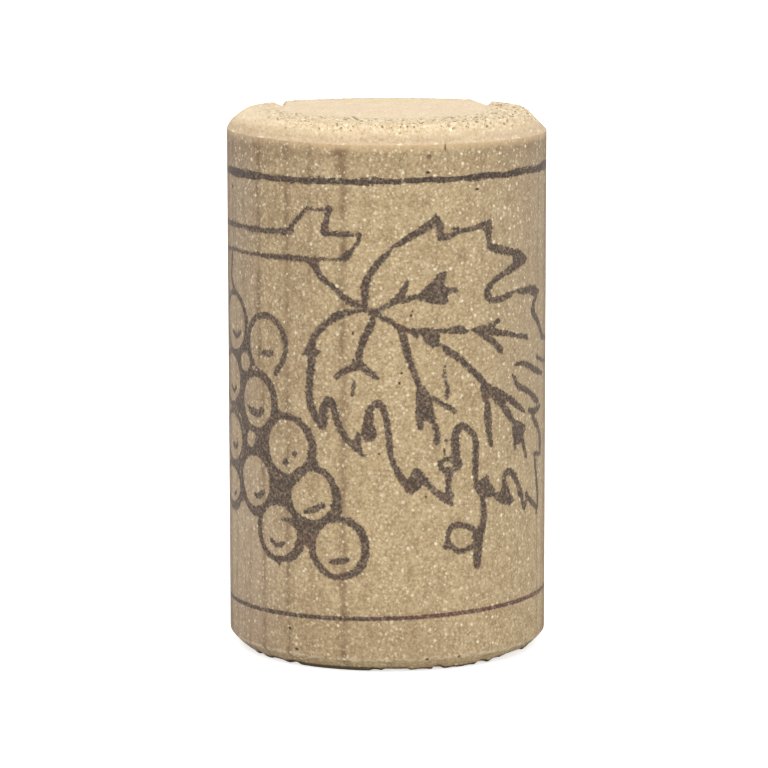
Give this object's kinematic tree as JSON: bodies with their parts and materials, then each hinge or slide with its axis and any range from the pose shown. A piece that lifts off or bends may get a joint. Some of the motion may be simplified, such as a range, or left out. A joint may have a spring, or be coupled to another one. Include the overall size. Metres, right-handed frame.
{
  "type": "wine cork",
  "caption": "Cylindrical foamed wine stopper, bevelled at both ends, with two nicks in the top rim, printed with ring lines, a grape bunch and a vine leaf.",
  "frame": {"origin": "centre of the bottom end face", "axes": "+Z along the stopper's axis, from the bottom end to the top end; the printed side faces -Y, and the two rim nicks are towards +Y"},
  "size_m": [0.0226, 0.0224, 0.038],
  "materials": {
    "foam": "matte tan foamed plastic with pale flecks on its extruded skin, open cells on its cut ends, and dark brown printed line work"
  },
  "bodies": {
    "root": {"cork": "foam"}
  },
  "joints": []
}
